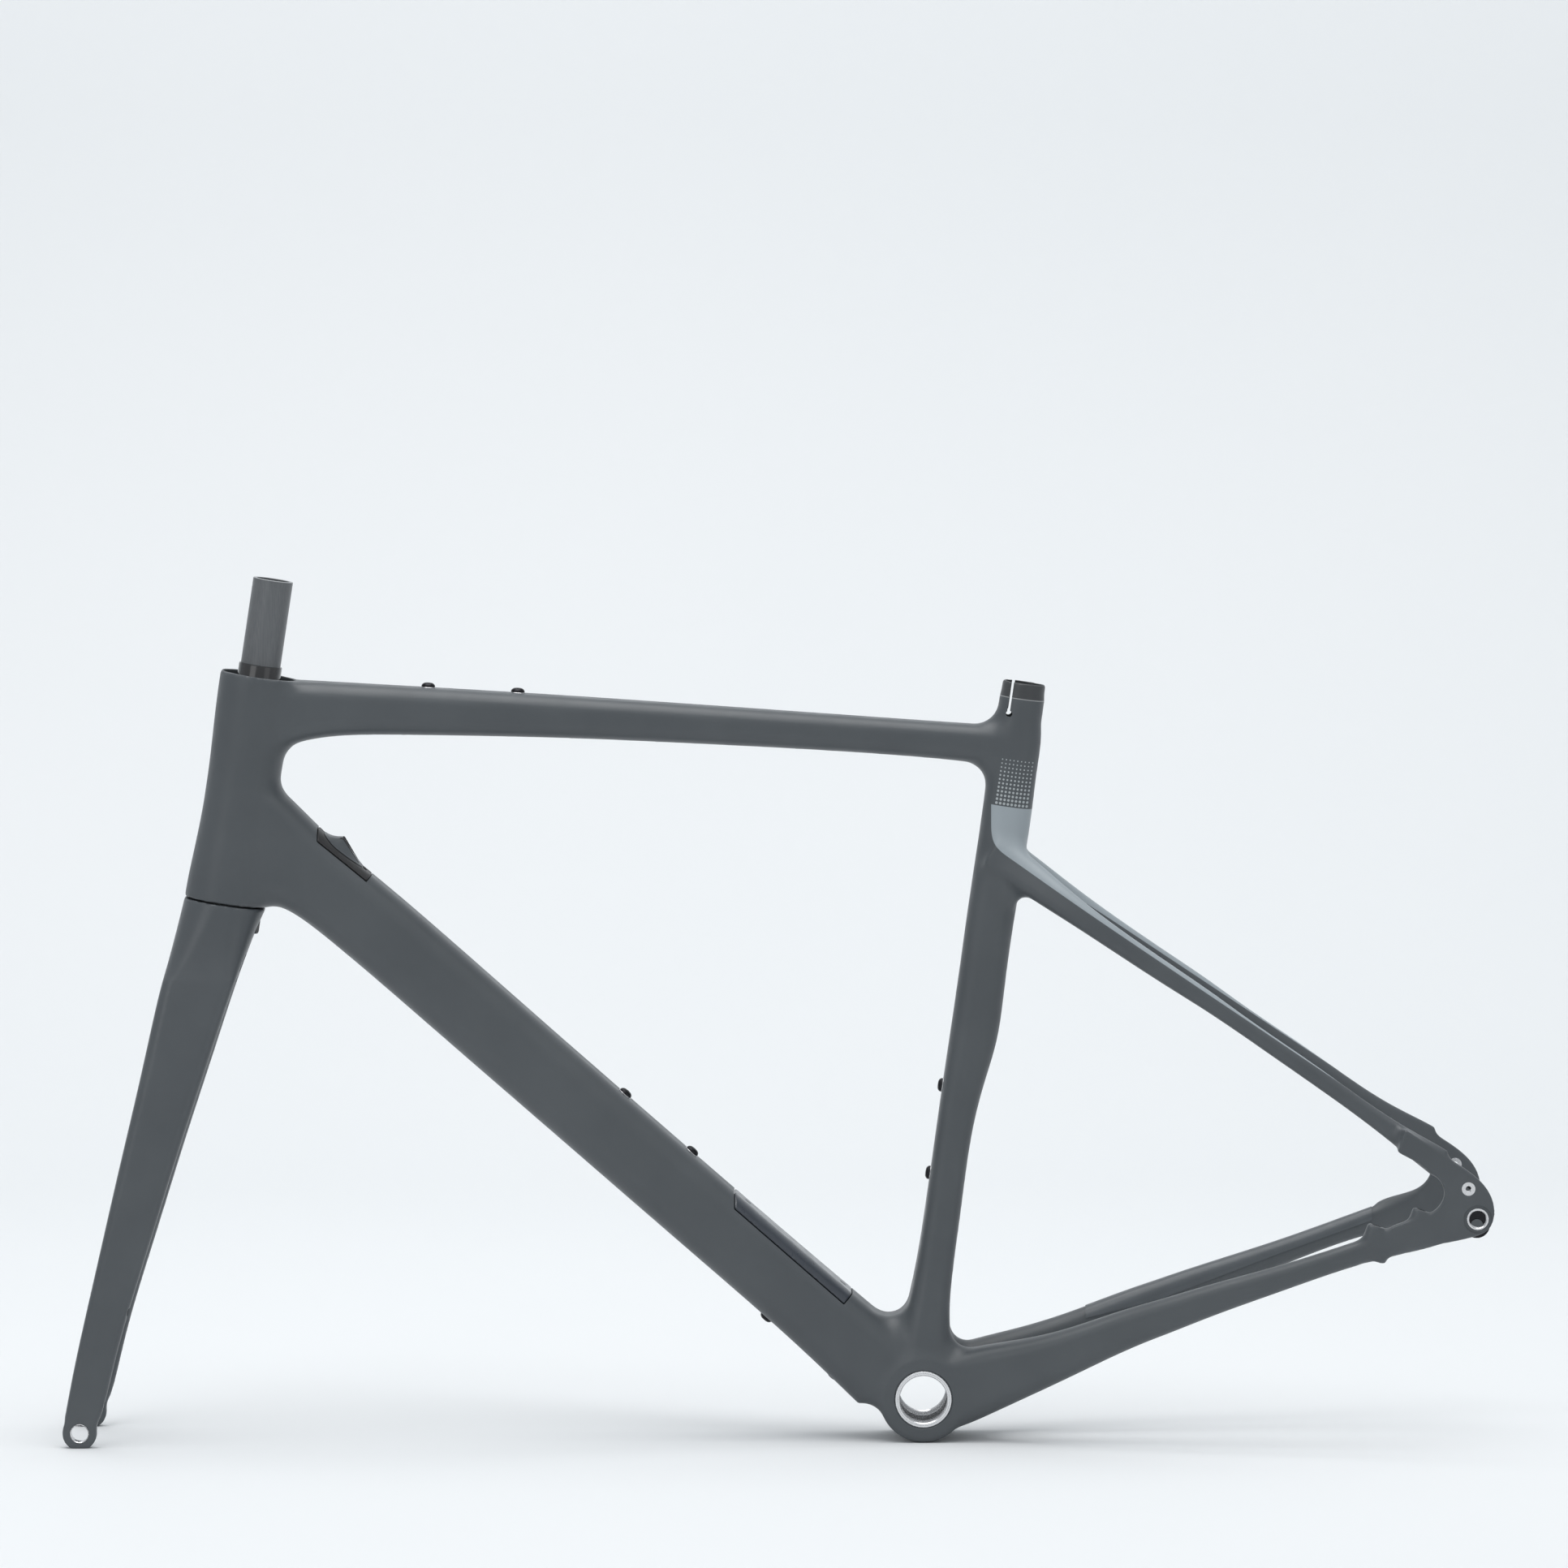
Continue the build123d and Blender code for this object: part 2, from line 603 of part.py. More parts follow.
# Split ring that centres the steerer in the upper bearing.
ring_bore = steerer_radius + 0.03
ring_top = upper_bearing_foot + bearing_height + ring_flange + ring_collar
with BuildPart() as compression_ring:
    with Locations(steer_plane(upper_bearing_foot)):
        ring(inner_race[1] - 0.04, ring_bore, bearing_height)
    with Locations(steer_plane(upper_bearing_foot + bearing_height)):
        ring(inner_race[0] - 0.4, ring_bore, ring_flange)
    with Locations(steer_plane(ring_top - ring_collar)):
        ring(ring_collar_radius, ring_bore, ring_collar)
    with BuildSketch(steer_plane(0)):
        with Locations((-18, 0)):
            Rectangle(12, ring_split)
    extrude(amount=20, both=True, mode=Mode.SUBTRACT)

crown_height = -head_length - crown_gap
race_bore = steerer_base_radius + 0.03
with BuildPart() as crown_race:
    with Locations(steer_plane(crown_height)):
        ring(race_flange_radius, race_bore, race_flange)
    with Locations(steer_plane(crown_height + race_flange)):
        ring(inner_race[0] - 0.3, race_bore, lower_bearing_foot - crown_height - race_flange)
    with Locations(steer_plane(lower_bearing_foot)):
        ring(inner_race[1] - 0.04, race_bore, race_tongue)

# ---------------------------------------------------------------- fork
taper_top, taper_foot = -118.0, -146.0
with BuildPart() as steerer_tube:
    with Locations(steer_plane(ring_top)):
        Cylinder(steerer_radius, steerer_above - ring_top, align=FOOT)
    with Locations(steer_plane(taper_top)):
        Cylinder(steerer_hidden_radius, ring_top - taper_top, align=FOOT)
    with Locations(steer_plane(taper_foot)):
        Cone(steerer_base_radius, steerer_hidden_radius, taper_top - taper_foot, align=FOOT)
    with Locations(steer_plane(crown_height)):
        Cylinder(steerer_base_radius, taper_foot - crown_height, align=FOOT)
        Cylinder(steerer_bore, steerer_above - crown_height + 1, align=FOOT, mode=Mode.SUBTRACT)

# z, rear edge, front edge, inner y, outer y, corner
blade_stations = [
    (blade_top, 490.6, 542.8, 24.5, 41.0, 7.8),
    (279.5, 498.4, 548.4, 28.0, 45.0, 8.0),
    (233.5, 513.6, 558.6, 34.0, 50.5, 8.0),
    (187.5, 528.8, 569.3, 39.0, 54.5, 7.5),
    (141.6, 543.4, 580.0, 43.0, 57.5, 7.0),
    (95.7, 557.8, 590.5, 46.5, 59.5, 6.3),
    (50.0, 571.8, 601.0, 48.5, 60.5, 5.8),
    (12.0, 581.4, 609.0, 49.6, 60.6, 5.3),
    (-10.0, 587.6, 613.2, front_inner, 60.2, 4.9),
]
# Mounts of the front brake on the rear of the left blade, (x, z) on the blade's rear edge.
fork_pads = [(568.4, 66.2), (585.2, -1.0)]
pad_angle = 193.5
pad_y = 54.8


def blade_sections(inset=0.0):
    """Level sections of the left blade."""
    faces = []
    for z, rear, front, inner, outer, corner in blade_stations:
        with BuildSketch(Plane.XY.offset(z)) as section:
            with Locations(((rear + front) / 2, (inner + outer) / 2)):
                RectangleRounded(front - rear - 2 * inset, outer - inner - 2 * inset, corner - inset)
        faces.append(section.sketch)
    return faces


with BuildPart() as blade_core:
    loft(blade_sections())
    loft(blade_sections(blade_wall), mode=Mode.SUBTRACT)
    with Locations(lateral_plane(front_axle, front_inner)):
        Cylinder(front_boss, front_outer - front_inner, align=FOOT)
    hole(lateral_plane(front_axle, front_outer), front_insert_radius)
    with Locations((front_axle[0], 0, floor_z)):
        Box(80, 200, 20, align=(Align.CENTER, Align.CENTER, Align.MAX), mode=Mode.SUBTRACT)

with BuildPart() as fork_blade_left:
    add(blade_core.part)
    for pad in fork_pads:
        with Locations(outward_plane(pad, pad_angle, pad_y)):
            Cylinder(pad_radius, pad_depth, align=(Align.CENTER, Align.CENTER, Align.MAX))
    for pad in fork_pads:
        with Locations(outward_plane(pad, pad_angle, pad_y)):
            Cylinder(brake_insert_radius, 2 * brake_insert_length, mode=Mode.SUBTRACT)

with BuildPart() as fork_blade_right:
    mirror(blade_core.part, about=Plane.XZ)

with BuildPart() as fork_brake_inserts:
    for pad in fork_pads:
        with Locations(outward_plane(pad, pad_angle, pad_y)):
            Cylinder(brake_insert_radius, brake_insert_length, align=(Align.CENTER, Align.CENTER, Align.MAX))
    for pad in fork_pads:
        with Locations(outward_plane(pad, pad_angle, pad_y)):
            Cylinder(m5_minor, 2 * brake_insert_length - 3, mode=Mode.SUBTRACT)

with BuildPart() as fork_insert_left:
    with Locations(lateral_plane(front_axle, front_inner)):
        ring(front_insert_radius, axle_hole, front_outer - front_inner)

with BuildPart() as fork_insert_right:
    with Locations(lateral_plane(front_axle, -front_outer)):
        ring(front_insert_radius, axle_thread, front_outer - front_inner)

# z, rear edge, front edge, half width, corner
crown_stations = [
    (328.0, 480.6, 536.0, 34.0, 19.0),
    (blade_top, 490.6, 542.8, 41.0, 9.0),
]
# Plug in the crown's front left, and the hose grommet in its back.
plug_turn, grommet_turn = 40.0, 162.0      # degrees from straight ahead, towards the left
plug_height, grommet_height = -173.0, -178.0
plug_reach, grommet_reach = 28.9, 27.2     # distance from the steering axis
plug_radius, plug_depth = 3.8, 4.0
grommet_size, grommet_corner, grommet_depth = (11.0, 8.0), 2.5, 5.0


def crown_plane(height, turn, reach):
    """Plane on the crown's side, facing away from the steering axis."""
    base = steer_plane(height)
    out = base.x_dir * cos(radians(turn)) + base.y_dir * sin(radians(turn))
    return Plane(origin=base.origin + out * reach, x_dir=base.z_dir, z_dir=out)


with BuildPart() as crown_plug:
    with Locations(crown_plane(plug_height, plug_turn, plug_reach)):
        Cylinder(plug_radius, plug_depth, align=(Align.CENTER, Align.CENTER, Align.MAX))

with BuildPart() as crown_grommet:
    with BuildSketch(crown_plane(grommet_height, grommet_turn, grommet_reach)):
        RectangleRounded(*grommet_size, grommet_corner)
    extrude(amount=-grommet_depth)

with BuildPart() as fork_crown:
    with BuildSketch(steer_plane(crown_height)):
        RectangleRounded(58.4, 60.0, 26.3)
    for z, rear, front, half_width, corner in crown_stations:
        with BuildSketch(Plane.XY.offset(z)):
            with Locations(((rear + front) / 2, 0)):
                RectangleRounded(front - rear, 2 * half_width, corner)
    loft()
    with BuildSketch(Plane.YZ.offset(400)):
        with Locations((0, blade_top)):
            Circle(blade_stations[0][3])
    extrude(amount=200, mode=Mode.SUBTRACT)
    add(crown_plug.part, mode=Mode.SUBTRACT)
    add(crown_grommet.part, mode=Mode.SUBTRACT)

with BuildPart() as top_tube_bolts:
    bolt_set("top_tube_bolts")

with BuildPart() as down_tube_bolts:
    bolt_set("down_tube_bolts")

with BuildPart() as down_tube_lower_bolts:
    bolt_set("down_tube_lower_bolts")

with BuildPart() as seat_tube_bolts:
    bolt_set("seat_tube_bolts")

with BuildPart() as bolt_washers:
    for row in bolt_rows:
        with Locations(*bolt_planes(row)):
            ring(washer_radius, bolt_radius + 0.05, washer_height)

with BuildPart() as rivet_nuts:
    for row in bolt_rows:
        with Locations(*[plane.offset(-nut_length) for plane in bolt_planes(row)]):
            ring(nut_radius, bolt_radius, nut_length)

with BuildPart() as battery_cover_screws:
    with Locations(*[plane.offset(-screw_sink) for plane in cover_screw_planes]):
        Cylinder(screw_radius, 6, align=(Align.CENTER, Align.CENTER, Align.MAX))

# ---------------------------------------------------------------- files
pieces = {
    "head_tube": head_tube,
    "top_tube": top_tube,
    "down_tube": down_tube,
    "seat_tube": seat_tube,
    "bb_shell": bb_shell,
    "chainstay_left": chainstay_left,
    "chainstay_right": chainstay_right,
    "seatstay_left": seatstay_left,
    "seatstay_right": seatstay_right,
    "dropout_left": dropout_left,
    "dropout_right": dropout_right,
    "battery_cover": battery_cover,
    "battery_cover_screws": battery_cover_screws,
    "cable_port_cover": cable_port_cover,
    "chainstay_guard": chainstay_guard,
    "bb_cup_left": bb_cup_left,
    "bb_cup_right": bb_cup_right,
    "axle_insert_left": axle_insert_left,
    "derailleur_hanger": derailleur_hanger,
    "eyelet_inserts": eyelet_inserts,
    "rear_brake_sleeves": rear_brake_sleeves,
    "top_tube_bolts": top_tube_bolts,
    "down_tube_bolts": down_tube_bolts,
    "down_tube_lower_bolts": down_tube_lower_bolts,
    "seat_tube_bolts": seat_tube_bolts,
    "bolt_washers": bolt_washers,
    "rivet_nuts": rivet_nuts,
    "upper_bearing_outer": upper_bearing_outer,
    "upper_bearing_inner": upper_bearing_inner,
    "upper_bearing_balls": upper_bearing_balls,
    "lower_bearing_outer": lower_bearing_outer,
    "lower_bearing_inner": lower_bearing_inner,
    "lower_bearing_balls": lower_bearing_balls,
    "compression_ring": compression_ring,
    "crown_race": crown_race,
    "steerer_tube": steerer_tube,
    "fork_crown": fork_crown,
    "fork_blade_left": fork_blade_left,
    "fork_blade_right": fork_blade_right,
    "fork_insert_left": fork_insert_left,
    "fork_insert_right": fork_insert_right,
    "fork_brake_inserts": fork_brake_inserts,
    "crown_plug": crown_plug,
    "crown_grommet": crown_grommet,
}
for name, builder in pieces.items():
    builder.part.label = name
    export_step(builder.part, f"parts/{name}.step")
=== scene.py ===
import json
from math import cos, radians, sin

import bmesh
import bpy
import numpy as np
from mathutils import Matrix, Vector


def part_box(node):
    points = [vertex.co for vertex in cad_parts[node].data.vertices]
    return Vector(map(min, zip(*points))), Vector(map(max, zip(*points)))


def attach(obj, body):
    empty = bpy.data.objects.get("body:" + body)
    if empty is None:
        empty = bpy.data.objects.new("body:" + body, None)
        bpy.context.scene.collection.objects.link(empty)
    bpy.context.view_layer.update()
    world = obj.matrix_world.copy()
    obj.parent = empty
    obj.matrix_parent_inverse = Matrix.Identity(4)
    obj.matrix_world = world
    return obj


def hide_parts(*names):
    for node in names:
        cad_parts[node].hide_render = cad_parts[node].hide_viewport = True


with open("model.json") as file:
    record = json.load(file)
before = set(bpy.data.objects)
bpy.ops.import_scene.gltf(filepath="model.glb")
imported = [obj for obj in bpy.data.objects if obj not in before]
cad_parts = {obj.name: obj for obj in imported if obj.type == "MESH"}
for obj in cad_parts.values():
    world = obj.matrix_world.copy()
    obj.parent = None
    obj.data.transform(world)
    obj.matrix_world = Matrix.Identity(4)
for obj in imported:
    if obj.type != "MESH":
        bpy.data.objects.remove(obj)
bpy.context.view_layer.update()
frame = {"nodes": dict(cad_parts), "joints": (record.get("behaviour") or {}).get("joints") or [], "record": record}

import openvdb as vdb
from mathutils import Vector

MM = 0.001
record = frame["record"]
nodes = frame["nodes"]
mounts = {m["name"]: m for m in record["mounts"]}
steering = next(j for j in frame["joints"] if j["name"] == "steering")
STEER_POINT = Vector(steering["pos_m"])
STEER_UP = Vector(steering["axis"]).normalized()
ACROSS = Vector((0, 1, 0))
SEAT_UP = Vector(mounts["seatpost"]["axis"]).normalized()
SEAT_AHEAD = ACROSS.cross(SEAT_UP)
SEATPOST_MOUNT_DEPTH = 60
SEAT_TOP = Vector(mounts["seatpost"]["pos_m"]) + SEAT_UP * SEATPOST_MOUNT_DEPTH * MM
FLOOR_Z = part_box("fork_blade_left")[0].z

# sizes shared by pieces and materials, in millimetres
HEAD_FOOT = -164.0
STEERER_TOP = 69
HALF_WASHER = 0.3
WASHER = 1.0
HALF_BRACKET = 34
BRACKET_LIP = 33.2
COARSE, FINE = ((0.002, 0.00125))


def head_point(height):
    """Point on the steering axis, millimetres above the head tube's top."""
    return STEER_POINT + STEER_UP * height * MM


def mount_place(name):
    """Place of a mount."""
    return Vector(mounts[name]["pos_m"])


def middle_plane(name):
    """Place of a mount, moved sideways to the bicycle's middle plane."""
    place = mount_place(name)
    place.y = 0
    return place


# ------------------------------------------------------------------ camera, lights and floor
def set_camera():
    """The camera stands far off on the bicycle's left, a little above it, and looks slightly down."""
    camera = bpy.data.objects.new("camera", bpy.data.cameras.new("camera"))
    bpy.context.collection.objects.link(camera)
    camera.location = (0.109, 7.5, 1.0564)
    pitch, yaw = 4.704, -0.0705
    camera.rotation_euler = (radians(90 - pitch), 0, radians(180 + yaw))
    camera.data.sensor_width = 36
    camera.data.lens = 241.52
    camera.data.clip_end = 100
    bpy.context.scene.camera = camera


def area_light(name, place, target, size, power):
    """Square soft light at a place, facing a target."""
    data = bpy.data.lights.new(name, "AREA")
    data.shape = "SQUARE"
    data.size = size
    data.energy = power
    light = bpy.data.objects.new(name, data)
    bpy.context.collection.objects.link(light)
    light.location = place
    aim = Vector(target) - Vector(place)
    light.rotation_euler = aim.to_track_quat("-Z", "Y").to_euler()


def set_stage():
    """Pale floor that curves up into a plain wall, under soft light."""
    bpy.context.scene.view_settings.view_transform = "Standard"
    world = bpy.data.worlds.new("studio")
    bpy.context.scene.world = world
    world.use_nodes = True
    background = world.node_tree.nodes["Background"]
    background.inputs["Color"].default_value = (0.93, 0.965, 1.0, 1)
    background.inputs["Strength"].default_value = 0.6
    area_light("overhead", (0.3, 0.4, 3.4), (0.1, 0.0, 0.2), 3.0, 72)
    area_light("front_left", (2.6, 3.4, 1.9), (0.1, 0.0, 0.2), 2.2, 16)
    area_light("front_right", (-2.8, 3.2, 1.4), (0.1, 0.0, 0.2), 2.2, 6)
    area_light("wall_wash", (0.0, -0.6, 3.2), (0.0, -2.4, 1.0), 2.6, 12)
    half_width, wall_y, bend, top = 12.0, -2.4, 0.9, 5.0
    profile = [(10.0, 0.0)]
    turns = [radians(degree) for degree in range(0, 91, 6)]
    profile += [(wall_y + bend - bend * sin(turn), bend - bend * cos(turn)) for turn in turns]
    profile.append((wall_y, top))
    points = [(x, y, FLOOR_Z + z) for y, z in profile for x in (-half_width, half_width)]
    faces = [(2 * i, 2 * i + 1, 2 * i + 3, 2 * i + 2) for i in range(len(profile) - 1)]
    mesh = bpy.data.meshes.new("floor")
    mesh.from_pydata(points, [], faces)
    mesh.shade_smooth()
    floor = bpy.data.objects.new("floor", mesh)
    bpy.context.collection.objects.link(floor)
    floor.data.materials.append(floor_material())


# ------------------------------------------------------------------ materials
class Shader:
    """Builds one node material around a Principled shader."""

    def __init__(self, name, color, roughness, metallic=0.0, coat=0.0, coat_roughness=0.2, specular=0.5):
        self.material = bpy.data.materials.new(name)
        self.material.use_nodes = True
        self.tree = self.material.node_tree
        self.bsdf = self.tree.nodes["Principled BSDF"]
        self.bsdf.inputs["Base Color"].default_value = (*color, 1)
        self.bsdf.inputs["Roughness"].default_value = roughness
        self.bsdf.inputs["Metallic"].default_value = metallic
        self.bsdf.inputs["Coat Weight"].default_value = coat
        self.bsdf.inputs["Coat Roughness"].default_value = coat_roughness
        self.bsdf.inputs["Specular IOR Level"].default_value = specular
        self.place = self.add("ShaderNodeTexCoord").outputs["Object"]

    def add(self, kind, inputs=None, **settings):
        """Adds a node; inputs maps a socket's name or index to a value or to another node's output."""
        node = self.tree.nodes.new(kind)
        for key, value in settings.items():
            setattr(node, key, value)
        for key, value in (inputs or {}).items():
            if isinstance(value, bpy.types.NodeSocket):
                self.tree.links.new(value, node.inputs[key])
            else:
                node.inputs[key].default_value = value
        return node

    def math(self, operation, *values):
        """Result of a maths node."""
        return self.add("ShaderNodeMath", dict(enumerate(values)), operation=operation).outputs[0]

    def noise(self, scale, detail=3.0, roughness=0.5, vector=None):
        """Noise between 0 and 1 at a number of lumps per metre."""
        inputs = {"Vector": vector or self.place, "Scale": scale, "Detail": detail, "Roughness": roughness}
        return self.add("ShaderNodeTexNoise", inputs).outputs["Fac"]

    def ramp(self, value, low, high, to_low=0.0, to_high=1.0):
        """Maps a value from low..high to to_low..to_high, clamped."""
        inputs = {"Value": value, "From Min": low, "From Max": high, "To Min": to_low, "To Max": to_high}
        return self.add("ShaderNodeMapRange", inputs, clamp=True).outputs["Result"]

    def mix(self, share, first, second):
        """Mixes two colours."""
        inputs = {0: share, 6: first if isinstance(first, bpy.types.NodeSocket) else (*first, 1),
                  7: second if isinstance(second, bpy.types.NodeSocket) else (*second, 1)}
        return self.add("ShaderNodeMix", inputs, data_type="RGBA").outputs[2]

    def dot(self, point, direction):
        """Distance in millimetres along a direction from a point."""
        inputs = {0: self.place, 1: tuple(point)}
        away = self.add("ShaderNodeVectorMath", inputs, operation="SUBTRACT").outputs[0]
        scaled = tuple(Vector(direction) / MM)
        inputs = {0: away, 1: scaled}
        return self.add("ShaderNodeVectorMath", inputs, operation="DOT_PRODUCT").outputs["Value"]

    def color(self, value):
        """Links the base colour."""
        self.tree.links.new(value, self.bsdf.inputs["Base Color"])

    def rough(self, value):
        """Links the roughness."""
        self.tree.links.new(value, self.bsdf.inputs["Roughness"])

    def bump(self, height, distance, strength):
        """Adds fine relief."""
        bump = self.add("ShaderNodeBump", {"Height": height, "Distance": distance, "Strength": strength})
        self.tree.links.new(bump.outputs["Normal"], self.bsdf.inputs["Normal"])


def floor_material():
    """Pale matt floor with very faint cloudiness."""
    s = Shader("floor_pale", (0.74, 0.755, 0.77), 0.7, specular=0.2)
    s.color(s.mix(s.noise(1.2, 2.0), (0.78, 0.8, 0.812), (0.81, 0.822, 0.83)))
    return s.material


def speckled(s, dark, light):
    """Paint colour with broad cloudiness and fine flake."""
    cloud = s.ramp(s.noise(14.0, 4.0), 0.35, 0.65)
    flake = s.ramp(s.noise(5200.0, 1.0), 0.55, 0.8, 0.0, 0.35)
    return s.mix(flake, s.mix(cloud, dark, light), tuple(1.35 * c for c in light))


def painted_finish(s, base, spread):
    """Roughness with smudges, and the fine orange peel of sprayed paint."""
    smudge = s.noise(38.0, 6.0, 0.62)
    s.rough(s.ramp(smudge, 0.3, 0.7, base - spread, base + spread))
    peel = s.math("ADD", s.noise(900.0, 2.0), s.math("MULTIPLY", s.noise(3600.0, 1.0), 0.35))
    s.bump(peel, 0.00003, 0.35)


GREY_DARK = (0.062, 0.07, 0.077)
GREY_LIGHT = (0.072, 0.081, 0.088)
PANEL_GREY = (0.285, 0.322, 0.345)
CARBON = (0.042, 0.045, 0.048)


def frame_paint():
    """Matt dark grey with a paler panel behind the seat tube, a fading grid of dots and a bare clamp band."""
    s = Shader("frame_paint_matt", GREY_DARK, 0.5)
    grey = speckled(s, GREY_DARK, GREY_LIGHT)
    depth = s.dot(SEAT_TOP, -SEAT_UP)
    ahead = s.dot(SEAT_TOP, SEAT_AHEAD)
    # paler panel: behind a line down the seat tube and above a line along the seat stay
    panel_top, panel_length = 88.8, 249.0
    corner = Vector((-0.0482, 0, 0.3969))
    corner_round = 14.0
    stay_slope = 33.9
    behind = s.dot(corner, (-1, 0, 0))
    above = s.dot(corner, (-sin(radians(stay_slope)), 0, cos(radians(stay_slope))))
    edge = s.math("SMOOTH_MIN", behind, above, corner_round)
    panel = s.math("MULTIPLY", s.ramp(edge, -0.15, 0.15), s.ramp(depth, panel_top - 0.1, panel_top + 0.1))
    panel = s.math("MULTIPLY", panel, s.math("LESS_THAN", behind, panel_length))
    color = s.mix(panel, grey, speckled(s, PANEL_GREY, tuple(1.08 * c for c in PANEL_GREY)))
    # twelve rows of dots that grow towards the panel
    pitch_x, pitch_y, first, centre, columns = 2.74, 2.86, 55.5, -2.85, 4.5
    column = s.math("DIVIDE", s.math("SUBTRACT", ahead, centre), pitch_x)
    row = s.math("DIVIDE", s.math("SUBTRACT", depth, first), pitch_y)
    off_x = s.math("SUBTRACT", s.math("FRACT", s.math("ADD", column, 0.5)), 0.5)
    off_y = s.math("SUBTRACT", s.math("FRACT", s.math("ADD", row, 0.5)), 0.5)
    square = s.math("ADD", s.math("MULTIPLY", off_x, off_x), s.math("MULTIPLY", off_y, off_y))
    reach = s.math("MULTIPLY", s.math("SQRT", square), pitch_x)
    size = s.ramp(depth, first, panel_top, 0.45, 0.95)
    dot = s.ramp(s.math("SUBTRACT", size, reach), -0.06, 0.06)
    above_panel = s.math("LESS_THAN", depth, panel_top - 0.4)
    inside = s.math("MULTIPLY", s.math("GREATER_THAN", depth, first - 1.3), above_panel)
    inside = s.math("MULTIPLY", inside, s.math("LESS_THAN", s.math("ABSOLUTE", column), columns))
    color = s.mix(s.math("MULTIPLY", dot, inside), color, (0.36, 0.39, 0.4))
    # bare band with its thin pale line
    band = 11.0
    color = s.mix(s.ramp(depth, band + 0.05, band - 0.05), color, CARBON)
    line = s.math("LESS_THAN", s.math("ABSOLUTE", s.math("SUBTRACT", depth, band + 0.3)), 0.3)
    color = s.mix(s.math("MULTIPLY", line, 0.75), color, (0.35, 0.36, 0.36))
    s.color(color)
    painted_finish(s, 0.42, 0.06)
    return s.material


def fork_paint():
    """Satin dark grey, a little glossier than the frame."""
    s = Shader("fork_paint_satin", GREY_DARK, 0.4)
    s.color(speckled(s, GREY_DARK, GREY_LIGHT))
    painted_finish(s, 0.36, 0.05)
    return s.material


def raw_carbon():
    """Bare satin carbon with lengthwise streaks and a pale sawn top, whose paleness is partly the cut carbon's own
    tone and partly a painted highlight.
    """
    s = Shader("bare_carbon", CARBON, 0.34)
    along = s.add("ShaderNodeMapping", {"Vector": s.place, "Scale": (1.0, 1.0, 0.03)}).outputs["Vector"]
    streak = s.noise(1600.0, 3.0, 0.6, along)
    # the top end is painted pale: partly the sawn carbon's own tone, partly a painted highlight where the top face
    # catches the light
    top_end_tone_and_highlight = s.ramp(s.dot(head_point(STEERER_TOP - 0.3), STEER_UP), 0.0, 0.1)
    s.color(s.mix(top_end_tone_and_highlight, s.mix(streak, (0.07, 0.075, 0.08), (0.15, 0.158, 0.165)), (0.3, 0.31, 0.32)))
    s.rough(s.ramp(streak, 0.3, 0.7, 0.28, 0.42))
    s.bump(streak, 0.00004, 0.4)
    return s.material


def moulded(name, color, roughness, grain, depth, coat=0.0):
    """Moulded plastic or rubber with a fine grain."""
    s = Shader(name, color, roughness, coat=coat)
    s.color(s.mix(s.noise(60.0, 3.0), color, tuple(1.3 * c + 0.002 for c in color)))
    s.rough(s.ramp(s.noise(140.0, 4.0), 0.3, 0.7, roughness - 0.05, roughness + 0.07))
    s.bump(s.noise(grain, 2.0), depth, 0.5)
    return s.material


def metal(name, color, roughness, scratch):
    """Machined or ground metal with fine scratches."""
    s = Shader(name, color, roughness, metallic=1.0)
    marks = s.noise(scratch, 5.0, 0.7)
    s.color(s.mix(marks, tuple(0.86 * c for c in color), color))
    s.rough(s.ramp(marks, 0.25, 0.75, roughness - 0.06, roughness + 0.1))
    s.bump(marks, 0.00002, 0.3)
    return s.material


MATERIALS = {
    "frame_paint": frame_paint(),
    "fork_paint": fork_paint(),
    "raw_carbon": raw_carbon(),
    "cover_plastic": moulded("cover_plastic_dark", (0.03, 0.036, 0.046), 0.3, 1500.0, 0.00002, 0.3),
    "black_plastic": moulded("black_plastic_grain", (0.014, 0.014, 0.015), 0.5, 2200.0, 0.00004),
    "black_steel": metal("black_oxide_steel", (0.03, 0.03, 0.033), 0.32, 700.0),
    "bright_alloy": metal("machined_alloy", (0.78, 0.78, 0.79), 0.24, 900.0),
    "bearing_steel": metal("ground_steel", (0.55, 0.55, 0.57), 0.2, 1400.0),
    "guard_grey": moulded("guard_grey", (0.07, 0.079, 0.087), 0.34, 1800.0, 0.00002),
    "plug_grey": moulded("plug_grey", (0.09, 0.1, 0.11), 0.35, 1200.0, 0.00002),
    "gloss_black": moulded("gloss_black", (0.008, 0.008, 0.009), 0.14, 900.0, 0.00001, 0.6),
}


# ------------------------------------------------------------------ meshes
def new_object(name, mesh, slot, body, replaced=(), finish=None):
    """Links a finished mesh as a piece: its material slot, its body and the CAD nodes that it stands for."""
    piece = bpy.data.objects.new(name, mesh)
    bpy.context.collection.objects.link(piece)
    mesh.materials.clear()
    mesh.materials.append(MATERIALS[finish or slot])
    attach(piece, body)
    if replaced:
        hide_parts(*replaced)
    return piece


def polygons(names):
    """Welded points and triangles of some CAD nodes, in metres."""
    points, triangles, count = [], [], 0
    for name in names:
        mesh = nodes[name].data
        mesh.calc_loop_triangles()
        co = np.zeros(len(mesh.vertices) * 3)
        mesh.vertices.foreach_get("co", co)
        tri = np.zeros(len(mesh.loop_triangles) * 3, np.int32)
        mesh.loop_triangles.foreach_get("vertices", tri)
        points.append(co.reshape(-1, 3))
        triangles.append(tri.reshape(-1, 3) + count)
        count += len(mesh.vertices)
    return np.concatenate(points), np.concatenate(triangles)


def joined(*solids):
    """Several (points, faces) as one."""
    points, faces, count = [], [], 0
    for p, f in solids:
        points.append(p)
        faces.append(np.asarray(f) + count)
        count += len(p)
    return np.concatenate(points), np.concatenate(faces)


